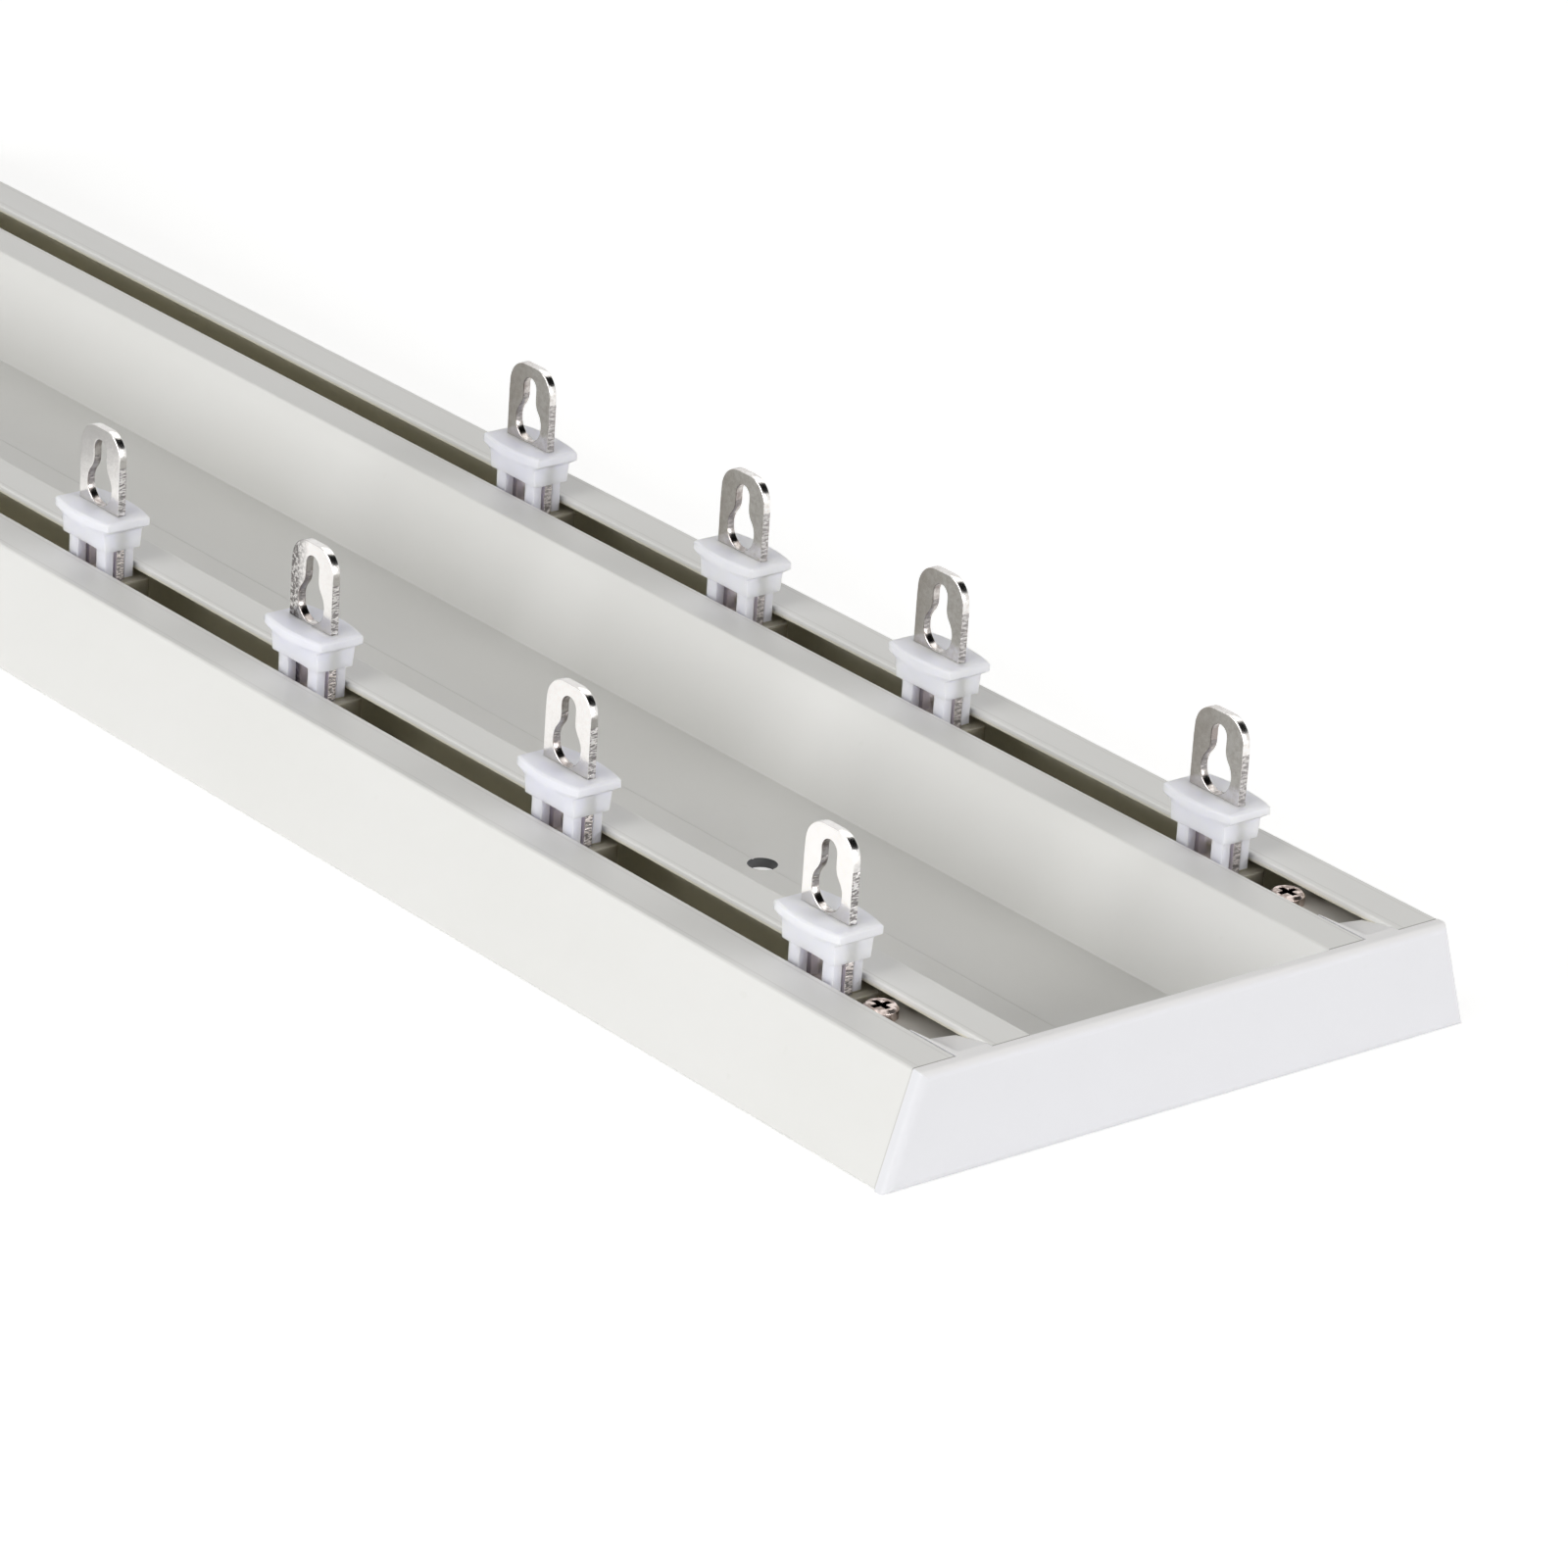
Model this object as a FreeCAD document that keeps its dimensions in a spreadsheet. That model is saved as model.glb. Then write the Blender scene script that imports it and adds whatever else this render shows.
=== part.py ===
import FreeCAD, Part
import os
import Sketcher

# Double curtain track, lying on its ceiling face with the runner side up.
# X runs along the track, Y across it and Z from the ceiling face to the room side.
# The origin is in the middle of the ceiling face. All sizes are in millimetres.

doc = FreeCAD.newDocument("curtain_track")
sheet = doc.addObject("Spreadsheet::Sheet", "sheet")

SIZES = [
    # extruded profile
    ("track_length", 400.0, "length of the extrusion"),
    ("base_width", 100.0, "width of the ceiling face"),
    ("crown_width", 90.0, "width of the room side"),
    ("track_height", 15.8, "ceiling face to room side"),
    ("wall_width", 1.3, "side walls, measured across the track"),
    ("web_thickness", 1.4, "web against the ceiling"),
    ("lip_thickness", 1.2, "lips beside each slot"),
    ("slot_width", 6.0, "slot of a channel"),
    ("slot_offset", 35.0, "middle of the track to the middle of a slot"),
    ("trough_mouth", 51.2, "width of the sunk middle at the room side"),
    ("trough_floor", 39.4, "width of the sunk middle at its floor"),
    ("groove_width", 0.5, "drill guide along the floor"),
    ("groove_depth", 0.15, "depth of the drill guide"),
    ("outer_round", 0.5, "rounding of the outer long edges"),
    ("trough_round", 0.7, "rounding at the mouth of the sunk middle"),
    ("corner_round", 0.6, "rounding in the corners of the sunk middle"),
    ("hole_diameter", 4.2, "mounting hole"),
    ("hole_spacing", 229.0, "between the two mounting holes"),
    # end cap
    ("cap_thickness", 2.2, "plate that covers the end"),
    ("cap_round", 1.2, "rounding round the outside of the plate"),
    ("plug_length", 21.4, "plug inside a channel"),
    ("plug_gap", 0.25, "plug to the channel walls"),
    ("plug_wall", 2.0, "wall of the hollow plug"),
    ("plug_drop", 1.2, "underside of the lips to the top of the plug"),
    ("filler_length", 9.3, "filler in the end of the slot, on its long side"),
    ("filler_skew", 2.3, "how much shorter the filler is on its other side"),
    ("filler_gap", 0.1, "filler to the slot edges"),
    ("ramp_front", 0.7, "height of the ramp at its front edge"),
    ("scoop_land", 1.0, "level stretch of the filler beside the plate"),
    ("scoop_rim", 1.1, "width of the rim beside the scoop at the plate"),
    # clamp screw
    ("screw_inset", 18.5, "end of the extrusion to the screw"),
    ("screw_head", 4.8, "head diameter"),
    ("screw_head_height", 1.6, "head height"),
    ("screw_crown", 0.4, "bevel round the top of the head"),
    ("screw_diameter", 2.5, "shank diameter"),
    ("screw_recess", 0.9, "width of an arm of the cross recess"),
    ("screw_recess_span", 3.0, "span of the cross recess"),
    ("screw_recess_depth", 0.9, "depth of the cross recess"),
    # runner
    ("flange_length", 13.6, "flange along the track"),
    ("flange_end", 7.2, "width of the flange at its ends"),
    ("flange_middle", 9.2, "width of the flange in the middle"),
    ("rim_height", 1.35, "upright rim of the flange"),
    ("flange_bevel", 0.3, "broken edge of the flange top"),
    ("hull_height", 0.9, "tapered part below the rim"),
    ("block_length", 10.8, "block below the flange"),
    ("block_end", 6.6, "width of the block at its ends"),
    ("block_middle", 8.0, "width of the block in the middle"),
    ("block_height", 2.8, "height of the block"),
    ("neck_height", 4.9, "block to shoe"),
    ("neck_long", 9.2, "neck along the track"),
    ("neck_wide", 4.9, "neck across the slot"),
    ("window_width", 4.7, "opening in each long side of the neck"),
    ("end_slot", 2.0, "opening in each end of the neck"),
    ("shoe_play", 1.0, "free height below the lips"),
    ("shoe_length", 12.4, "shoe along the track"),
    ("shoe_width", 9.6, "shoe across the channel"),
    ("shoe_height", 3.2, "thickness of the shoe"),
    ("shoe_round", 1.2, "rounding of the corners of the shoe"),
    ("keel_length", 8.0, "keel below the shoe"),
    ("keel_width", 5.0, "width of the keel"),
    ("keel_gap", 0.3, "keel to the web of the channel"),
    # eyelet plate
    ("plate_thickness", 1.3, "sheet thickness"),
    ("plate_width", 9.8, "width of the plate"),
    ("plate_height", 12.0, "flange to the top of the plate"),
    ("arch_round", 3.6, "rounding of the upper corners"),
    ("plate_seat", 2.0, "depth of the plate in the shoe"),
    ("keyhole_web", 0.1, "flange to the bottom of the keyhole"),
    ("keyhole_bulb", 6.2, "diameter of the wide lower part"),
    ("keyhole_slot", 3.4, "width of the narrow upper part"),
    ("keyhole_height", 10.0, "height of the keyhole"),
    # where the runners stand, measured back from the end of the extrusion at +X
    ("near_one", 196.1, "first runner of the near channel"),
    ("near_two", 143.8, "second runner of the near channel"),
    ("near_three", 85.1, "third runner of the near channel"),
    ("near_four", 30.0, "fourth runner of the near channel"),
    ("far_one", 187.0, "first runner of the far channel"),
    ("far_two", 136.3, "second runner of the far channel"),
    ("far_three", 92.0, "third runner of the far channel"),
    ("far_four", 33.7, "fourth runner of the far channel"),
]
for row, (alias, value, note) in enumerate(SIZES, start=1):
    sheet.set("A%d" % row, str(value))
    sheet.set("B%d" % row, note)
    sheet.setAlias("A%d" % row, alias)
doc.recompute()

# heights above the ceiling face that several pieces share
LIP_UNDERSIDE = "(sheet.track_height - sheet.lip_thickness)"
SHOE_TOP = "(" + LIP_UNDERSIDE + " - sheet.shoe_play)"
BLOCK_BOTTOM = "(" + SHOE_TOP + " + sheet.neck_height)"
BLOCK_TOP = "(" + BLOCK_BOTTOM + " + sheet.block_height)"
RIM_BOTTOM = "(" + BLOCK_TOP + " + sheet.hull_height)"
FLANGE_TOP = "(" + RIM_BOTTOM + " + sheet.rim_height)"
PLUG_TOP = "(" + LIP_UNDERSIDE + " - sheet.plug_drop)"


def origin_plane(body, role):
    """Return one of a body's own origin planes or axes by its role."""
    for feature in body.Origin.OriginFeatures:
        if feature.Role == role:
            return feature
    raise ValueError(role)


def sketch_on(body, name, role, height=None):
    """Put a sketch on an origin plane, lifted along the plane's normal by an expression."""
    sketch = body.newObject("Sketcher::SketchObject", name)
    sketch.AttachmentSupport = [(origin_plane(body, role), "")]
    sketch.MapMode = "FlatFace"
    if height:
        sketch.setExpression("AttachmentOffset.Base.z", height)
    return sketch


def bind(sketch, kind, geometry, position, expression):
    """Fix one coordinate of a point, measured from the sketch origin, with an expression."""
    point = sketch.getPoint(geometry, position)
    rough = point.x if kind == "DistanceX" else point.y
    index = sketch.addConstraint(Sketcher.Constraint(kind, -1, 1, geometry, position, rough))
    sketch.setExpression("Constraints[%d]" % index, expression)


def polygon(sketch, corners):
    """Draw a closed polygon whose corners are pairs of expressions."""
    count = len(corners)
    first = sketch.GeometryCount
    rough = [FreeCAD.Vector(index + 1, index * index + 1, 0) for index in range(count)]
    for index in range(count):
        sketch.addGeometry(Part.LineSegment(rough[index], rough[(index + 1) % count]), False)
    for index in range(count):
        following = first + (index + 1) % count
        sketch.addConstraint(Sketcher.Constraint("Coincident", first + index, 2, following, 1))
    for index, (across, up) in enumerate(corners):
        bind(sketch, "DistanceX", first + index, 1, across)
        bind(sketch, "DistanceY", first + index, 1, up)


def rectangle(sketch, left, right, low, high):
    polygon(sketch, [(left, low), (right, low), (right, high), (left, high)])


def circle(sketch, across, up, diameter):
    index = sketch.addGeometry(Part.Circle(FreeCAD.Vector(1, 1, 0), FreeCAD.Vector(0, 0, 1), 1), False)
    bind(sketch, "DistanceX", index, 3, across)
    bind(sketch, "DistanceY", index, 3, up)
    size = sketch.addConstraint(Sketcher.Constraint("Diameter", index, 2.0))
    sketch.setExpression("Constraints[%d]" % size, diameter)


def new_body(label):
    body = doc.addObject("PartDesign::Body", label)
    body.Label = label
    return body


def pad(body, name, sketch, length, downwards=False, both_ways=False):
    feature = body.newObject("PartDesign::Pad", name)
    feature.Profile = sketch
    feature.setExpression("Length", length)
    feature.Reversed = downwards
    feature.Midplane = both_ways
    return feature


def pocket(body, name, sketch, length, other_way=False, both_ways=False):
    feature = body.newObject("PartDesign::Pocket", name)
    feature.Profile = sketch
    feature.setExpression("Length", length)
    feature.Reversed = other_way
    feature.Midplane = both_ways
    return feature


def edge_names(shape, wanted):
    """Names of the edges of a shape whose middle point passes a test."""
    names = []
    for index, edge in enumerate(shape.Edges, start=1):
        middle = edge.valueAt((edge.FirstParameter + edge.LastParameter) / 2)
        if wanted(middle):
            names.append("Edge%d" % index)
    return names


def fillet(body, name, base, wanted, radius):
    """Round the edges of a feature that pass a test."""
    doc.recompute()
    feature = body.newObject("PartDesign::Fillet", name)
    feature.Base = (base, edge_names(base.Shape, wanted))
    feature.setExpression("Radius", radius)
    return feature


def chamfer(body, name, base, wanted, size):
    """Bevel the edges of a feature that pass a test."""
    doc.recompute()
    feature = body.newObject("PartDesign::Chamfer", name)
    feature.Base = (base, edge_names(base.Shape, wanted))
    feature.setExpression("Size", size)
    return feature


def same(value, target):
    return abs(value - target) < NEAR


NEAR = 1e-4


def outer_wall(height, inset="0"):
    """How far from the middle the outer face of the profile stands at a height, less an inset."""
    return ("sheet.base_width / 2 - (sheet.base_width - sheet.crown_width) / 2"
            " * %s / sheet.track_height - (%s)" % (height, inset))


def trough_wall(height, inset="0"):
    """How far from the middle the wall of the sunk middle stands at a height, plus an inset."""
    return ("sheet.trough_floor / 2 + (sheet.trough_mouth - sheet.trough_floor) / 2"
            " * (%s - sheet.web_thickness) / (sheet.track_height - sheet.web_thickness) + (%s)"
            % (height, inset))


def section_outline(sketch):
    """The outer outline of the profile, wider at the ceiling face."""
    polygon(sketch, [
        ("-sheet.base_width / 2", "0"),
        ("sheet.base_width / 2", "0"),
        ("sheet.crown_width / 2", "sheet.track_height"),
        ("-sheet.crown_width / 2", "sheet.track_height"),
    ])


def make_profile():
    body = new_body("track_profile")
    outline = sketch_on(body, "profile_outline", "YZ_Plane")
    section_outline(outline)
    bar = pad(body, "bar", outline, "sheet.track_length", both_ways=True)

    trough = sketch_on(body, "trough_outline", "YZ_Plane")
    polygon(trough, [
        ("-sheet.trough_floor / 2", "sheet.web_thickness"),
        ("sheet.trough_floor / 2", "sheet.web_thickness"),
        ("sheet.trough_mouth / 2", "sheet.track_height"),
        ("-sheet.trough_mouth / 2", "sheet.track_height"),
    ])
    pocket(body, "trough", trough, "sheet.track_length", both_ways=True)

    # a channel that is wide inside and opens to the room through a slot
    web = "sheet.web_thickness"
    wall = "sheet.wall_width"
    channel = sketch_on(body, "channel_outline", "YZ_Plane")
    polygon(channel, [
        (trough_wall(web, wall), web),
        (outer_wall(web, wall), web),
        (outer_wall(LIP_UNDERSIDE, wall), LIP_UNDERSIDE),
        ("sheet.slot_offset + sheet.slot_width / 2", LIP_UNDERSIDE),
        ("sheet.slot_offset + sheet.slot_width / 2", "sheet.track_height"),
        ("sheet.slot_offset - sheet.slot_width / 2", "sheet.track_height"),
        ("sheet.slot_offset - sheet.slot_width / 2", LIP_UNDERSIDE),
        (trough_wall(LIP_UNDERSIDE, wall), LIP_UNDERSIDE),
    ])
    far_channel = pocket(body, "far_channel", channel, "sheet.track_length", both_ways=True)
    near_channel = body.newObject("PartDesign::Mirrored", "near_channel")
    near_channel.Originals = [far_channel]
    near_channel.MirrorPlane = (origin_plane(body, "XZ_Plane"), [""])
    body.Tip = near_channel

    groove = sketch_on(body, "groove_outline", "YZ_Plane")
    polygon(groove, [
        ("-sheet.groove_width / 2", "sheet.web_thickness"),
        ("0", "sheet.web_thickness - sheet.groove_depth"),
        ("sheet.groove_width / 2", "sheet.web_thickness"),
    ])
    pocket(body, "drill_guide", groove, "sheet.track_length", both_ways=True)

    hole = sketch_on(body, "hole_outline", "XY_Plane")
    circle(hole, "-sheet.hole_spacing / 2", "0", "sheet.hole_diameter")
    first_hole = pocket(body, "mounting_hole", hole, "sheet.web_thickness", other_way=True)
    holes = body.newObject("PartDesign::LinearPattern", "mounting_holes")
    holes.Originals = [first_hole]
    holes.Direction = (origin_plane(body, "X_Axis"), [""])
    holes.setExpression("Length", "sheet.hole_spacing")
    holes.Occurrences = 2
    body.Tip = holes

    half_crown = sheet.crown_width / 2
    half_base = sheet.base_width / 2
    half_mouth = sheet.trough_mouth / 2
    half_floor = sheet.trough_floor / 2

    def on_outside(middle):
        top = same(abs(middle.y), half_crown) and same(middle.z, sheet.track_height)
        return top or (same(abs(middle.y), half_base) and same(middle.z, 0))

    def at_mouth(middle):
        return same(abs(middle.y), half_mouth) and same(middle.z, sheet.track_height)

    def in_corner(middle):
        return same(abs(middle.y), half_floor) and same(middle.z, sheet.web_thickness)

    outside = fillet(body, "outer_edges", holes, on_outside, "sheet.outer_round")
    mouth = fillet(body, "mouth_edges", outside, at_mouth, "sheet.trough_round")
    fillet(body, "corner_edges", mouth, in_corner, "sheet.corner_round")
    return body


def make_cap(label):
    """A cap in its own place: the inner face of the plate is at X 0 and the plugs point to -X."""
    body = new_body(label)
    outline = sketch_on(body, label + "_outline", "YZ_Plane")
    section_outline(outline)
    plate = pad(body, label + "_plate", outline, "sheet.cap_thickness")

    # a hollow plug that follows the walls of the channel
    gap = "sheet.wall_width + sheet.plug_gap"
    inside = gap + " + sheet.plug_wall"
    foot = "(sheet.web_thickness + sheet.plug_gap)"
    ceiling = "(" + PLUG_TOP + " - sheet.plug_wall)"
    plug = sketch_on(body, label + "_plug_outline", "YZ_Plane")
    polygon(plug, [
        (trough_wall(foot, gap), foot),
        (trough_wall(foot, inside), foot),
        (trough_wall(ceiling, inside), ceiling),
        (outer_wall(ceiling, inside), ceiling),
        (outer_wall(foot, inside), foot),
        (outer_wall(foot, gap), foot),
        (outer_wall(PLUG_TOP, gap), PLUG_TOP),
        (trough_wall(PLUG_TOP, gap), PLUG_TOP),
    ])
    far_plug = pad(body, label + "_far_plug", plug, "sheet.plug_length", downwards=True)
    near_plug = body.newObject("PartDesign::Mirrored", label + "_near_plug")
    near_plug.Originals = [far_plug]
    near_plug.MirrorPlane = (origin_plane(body, "XZ_Plane"), [""])
    body.Tip = near_plug

    reach = "(sheet.slot_width / 2 - sheet.filler_gap)"
    for channel, middle in (("near", "(-sheet.slot_offset)"), ("far", "sheet.slot_offset")):
        name = label + "_" + channel
        # a ramp in the last stretch of the slot, up to the level of the lips
        ramp = sketch_on(body, name + "_ramp_outline", "XZ_Plane", "-1 * " + middle)
        polygon(ramp, [
            ("0", PLUG_TOP),
            ("0", "sheet.track_height"),
            ("-sheet.scoop_land", "sheet.track_height"),
            ("-sheet.filler_length", PLUG_TOP + " + sheet.ramp_front"),
            ("-sheet.filler_length", PLUG_TOP),
        ])
        pad(body, name + "_ramp", ramp, "2 * " + reach, both_ways=True)
        skew = sketch_on(body, name + "_skew_outline", "XY_Plane", PLUG_TOP)
        polygon(skew, [
            ("-sheet.filler_length", middle + " - " + reach),
            ("-sheet.filler_length + sheet.filler_skew", middle + " + " + reach),
            ("-sheet.filler_length", middle + " + " + reach),
        ])
        pocket(body, name + "_skew", skew, "sheet.track_height", other_way=True)
        rim = sketch_on(body, name + "_rim_outline", "XY_Plane", PLUG_TOP)
        polygon(rim, [
            ("0", middle + " - " + reach),
            ("0", middle + " - " + reach + " + sheet.scoop_rim"),
            ("-sheet.filler_length", middle + " - " + reach),
        ])
        pad(body, name + "_rim", rim, "sheet.track_height - " + PLUG_TOP)
        bore = sketch_on(body, name + "_bore_outline", "XY_Plane", PLUG_TOP)
        circle(bore, "-sheet.screw_inset", middle, "sheet.screw_diameter")
        last = pocket(body, name + "_bore", bore, "sheet.plug_wall")

    def outer_corner(middle):
        return same(middle.x, sheet.cap_thickness)

    fillet(body, label + "_round", last, outer_corner, "sheet.cap_round")
    return body


def make_screw(label):
    """A pan head screw whose head rests on Z 0."""
    body = new_body(label)
    head = sketch_on(body, label + "_head_outline", "XY_Plane")
    circle(head, "0", "0", "sheet.screw_head")
    button = pad(body, label + "_head", head, "sheet.screw_head_height")

    def top_edge(middle):
        return same(middle.z, sheet.screw_head_height)

    chamfer(body, label + "_crown", button, top_edge, "sheet.screw_crown")
    shank = sketch_on(body, label + "_shank_outline", "XY_Plane")
    circle(shank, "0", "0", "sheet.screw_diameter")
    pad(body, label + "_shank", shank, PLUG_TOP + " - sheet.web_thickness", downwards=True)
    arm = "sheet.screw_recess / 2"
    span = "sheet.screw_recess_span / 2"
    cross = sketch_on(body, label + "_recess_outline", "XY_Plane", "sheet.screw_head_height")
    polygon(cross, [
        (arm, arm), (span, arm), (span, "-" + arm), (arm, "-" + arm),
        (arm, "-" + span), ("-" + arm, "-" + span), ("-" + arm, "-" + arm), ("-" + span, "-" + arm),
        ("-" + span, arm), ("-" + arm, arm), ("-" + arm, span), (arm, span),
    ])
    pocket(body, label + "_recess", cross, "sheet.screw_recess_depth")
    return body


def bulged_outline(sketch, length, end_width, middle_width):
    """Straight ends joined by two long sides that bulge outwards as arcs."""
    half_length = getattr(sheet, length) / 2
    half_end = getattr(sheet, end_width) / 2
    bulge = getattr(sheet, middle_width) / 2 - half_end
    half = "sheet.%s / 2" % length
    side = "sheet.%s / 2" % end_width
    rise = "(sheet.%s - sheet.%s) / 2" % (middle_width, end_width)
    reach = "sheet.%s / 2 - ((%s) ^ 2 + (%s) ^ 2) / (2 * %s)" % (middle_width, half, rise, rise)
    corners = [FreeCAD.Vector(x * half_length, y * half_end, 0) for x, y in ((1, -1), (1, 1), (-1, 1), (-1, -1))]
    crest = FreeCAD.Vector(0, half_end + bulge, 0)
    sketch.addGeometry(Part.LineSegment(corners[0], corners[1]), False)
    sketch.addGeometry(Part.Arc(corners[1], crest, corners[2]), False)
    sketch.addGeometry(Part.LineSegment(corners[2], corners[3]), False)
    sketch.addGeometry(Part.Arc(corners[3], -crest, corners[0]), False)
    for line, arc_end in ((0, 1), (2, 3)):
        following = (line + 1) % 4
        sketch.addConstraint(Sketcher.Constraint("Coincident", line, 2, following, 1))
        sketch.addConstraint(Sketcher.Constraint("Coincident", following, 2, (following + 1) % 4, 1))
    bind(sketch, "DistanceX", 0, 1, half)
    bind(sketch, "DistanceY", 0, 1, "-" + side)
    bind(sketch, "DistanceX", 0, 2, half)
    bind(sketch, "DistanceY", 0, 2, side)
    bind(sketch, "DistanceX", 2, 1, "-" + half)
    bind(sketch, "DistanceY", 2, 1, side)
    bind(sketch, "DistanceX", 2, 2, "-" + half)
    bind(sketch, "DistanceY", 2, 2, "-" + side)
    bind(sketch, "DistanceY", 1, 3, reach)
    bind(sketch, "DistanceY", 3, 3, "-1 * (%s)" % reach)


def make_runner(label):
    """A moulded runner, with the origin below the middle of its slot at the ceiling face."""
    body = new_body(label)
    flange = sketch_on(body, label + "_flange_outline", "XY_Plane", RIM_BOTTOM)
    bulged_outline(flange, "flange_length", "flange_end", "flange_middle")
    rim = pad(body, label + "_flange", flange, "sheet.rim_height")

    def top_edge(middle):
        return same(middle.z, top_level)

    doc.recompute()
    top_level = rim.Shape.BoundBox.ZMax
    chamfer(body, label + "_flange_edge", rim, top_edge, "sheet.flange_bevel")

    block = sketch_on(body, label + "_block_outline", "XY_Plane", BLOCK_TOP)
    bulged_outline(block, "block_length", "block_end", "block_middle")
    hull = body.newObject("PartDesign::AdditiveLoft", label + "_hull")
    hull.Profile = flange
    hull.Sections = [block]
    hull.Ruled = True
    pad(body, label + "_block", block, "sheet.block_height", downwards=True)

    # the neck is four corner columns, open at the sides and the ends
    neck = sketch_on(body, label + "_neck_outline", "XY_Plane", BLOCK_BOTTOM)
    for along in ("", "-"):
        for across in ("", "-"):
            rectangle(neck, along + "sheet.neck_long / 2", along + "sheet.window_width / 2",
                      across + "sheet.end_slot / 2", across + "sheet.neck_wide / 2")
    pad(body, label + "_neck", neck, "sheet.neck_height", downwards=True)

    shoe = sketch_on(body, label + "_shoe_outline", "XY_Plane", SHOE_TOP)
    rectangle(shoe, "-sheet.shoe_length / 2", "sheet.shoe_length / 2",
              "-sheet.shoe_width / 2", "sheet.shoe_width / 2")
    foot = pad(body, label + "_shoe", shoe, "sheet.shoe_height", downwards=True)
    half_length = sheet.shoe_length / 2
    half_width = sheet.shoe_width / 2

    def shoe_corner(middle):
        return same(abs(middle.x), half_length) and same(abs(middle.y), half_width)

    fillet(body, label + "_shoe_corners", foot, shoe_corner, "sheet.shoe_round")
    keel = sketch_on(body, label + "_keel_outline", "XY_Plane", SHOE_TOP + " - sheet.shoe_height")
    rectangle(keel, "-sheet.keel_length / 2", "sheet.keel_length / 2",
              "-sheet.keel_width / 2", "sheet.keel_width / 2")
    pad(body, label + "_keel", keel,
        SHOE_TOP + " - sheet.shoe_height - sheet.web_thickness - sheet.keel_gap", downwards=True)

    seat = sketch_on(body, label + "_seat_outline", "XZ_Plane")
    rectangle(seat, "-sheet.plate_width / 2", "sheet.plate_width / 2",
              SHOE_TOP + " - sheet.plate_seat", FLANGE_TOP)
    pocket(body, label + "_seat", seat, "sheet.plate_thickness", both_ways=True)
    return body


def make_eyelet(label):
    """The steel plate that stands in a runner, cut from sheet, with a keyhole."""
    body = new_body(label)
    outline = sketch_on(body, label + "_outline", "XZ_Plane")
    rectangle(outline, "-sheet.plate_width / 2", "sheet.plate_width / 2",
              SHOE_TOP + " - sheet.plate_seat", FLANGE_TOP + " + sheet.plate_height")
    blank = pad(body, label + "_blank", outline, "sheet.plate_thickness", both_ways=True)
    doc.recompute()
    top_level = blank.Shape.BoundBox.ZMax
    half_width = blank.Shape.BoundBox.XMax

    def upper_corner(middle):
        return same(middle.z, top_level) and same(abs(middle.x), half_width)

    arch = fillet(body, label + "_arch", blank, upper_corner, "sheet.arch_round")

    bottom = FLANGE_TOP + " + sheet.keyhole_web"
    bulb_middle = "(" + bottom + " + sheet.keyhole_bulb / 2)"
    slot_middle = "(" + bottom + " + sheet.keyhole_height - sheet.keyhole_slot / 2)"
    bulb = sketch_on(body, label + "_bulb_outline", "XZ_Plane")
    circle(bulb, "0", bulb_middle, "sheet.keyhole_bulb")
    pocket(body, label + "_bulb", bulb, "sheet.plate_thickness", both_ways=True)
    slot = sketch_on(body, label + "_slot_outline", "XZ_Plane")
    rectangle(slot, "-sheet.keyhole_slot / 2", "sheet.keyhole_slot / 2", bulb_middle, slot_middle)
    pocket(body, label + "_slot", slot, "sheet.plate_thickness", both_ways=True)
    crown = sketch_on(body, label + "_crown_outline", "XZ_Plane")
    circle(crown, "0", slot_middle, "sheet.keyhole_slot")
    pocket(body, label + "_crown", crown, "sheet.plate_thickness", both_ways=True)
    return body


def place(body, along, across="0", up="0"):
    """Put a piece in the frame of the track."""
    body.setExpression("Placement.Base.x", along)
    body.setExpression("Placement.Base.y", across)
    body.setExpression("Placement.Base.z", up)
    return body


HALF_TURN = FreeCAD.Rotation(FreeCAD.Vector(0, 0, 1), 180)
pieces = [make_profile()]
pieces.append(place(make_cap("end_cap_right"), "sheet.track_length / 2"))
left_cap = make_cap("end_cap_left")
left_cap.Placement.Rotation = HALF_TURN
pieces.append(place(left_cap, "-sheet.track_length / 2"))
for end, sign in (("right", ""), ("left", "-")):
    for channel, across in (("near", "-sheet.slot_offset"), ("far", "sheet.slot_offset")):
        screw = make_screw("cap_screw_%s_%s" % (end, channel))
        along = sign + "(sheet.track_length / 2 - sheet.screw_inset)"
        pieces.append(place(screw, along, across, PLUG_TOP))
for channel, across in (("near", "-sheet.slot_offset"), ("far", "sheet.slot_offset")):
    for number, word in enumerate(("one", "two", "three", "four"), start=1):
        along = "sheet.track_length / 2 - sheet.%s_%s" % (channel, word)
        pieces.append(place(make_runner("runner_%s_%d" % (channel, number)), along, across))
        pieces.append(place(make_eyelet("eyelet_%s_%d" % (channel, number)), along, across))
doc.recompute()


def check_features():
    """Stop if an object failed, or if a feature changed nothing."""
    for item in doc.Objects:
        if "Invalid" in item.State or "Error" in item.State:
            raise RuntimeError("failed: " + item.Label)
        base = getattr(item, "BaseFeature", None)
        if base is not None and item.isDerivedFrom("PartDesign::Feature"):
            if abs(item.Shape.Volume - base.Shape.Volume) < NEAR:
                raise RuntimeError("changes nothing: " + item.Label)


check_features()
for piece in pieces:
    shape = piece.Shape
    if shape.isNull() or not shape.isValid() or len(shape.Solids) != 1:
        raise RuntimeError("bad shape: " + piece.Label)

os.makedirs("parts", exist_ok=True)
for piece in pieces:
    piece.Shape.exportStep("parts/%s.step" % piece.Label)
    print(piece.Label, round(piece.Shape.Volume, 1))
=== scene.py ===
import bmesh
import bpy
import math
from mathutils import Matrix, Vector


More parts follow.
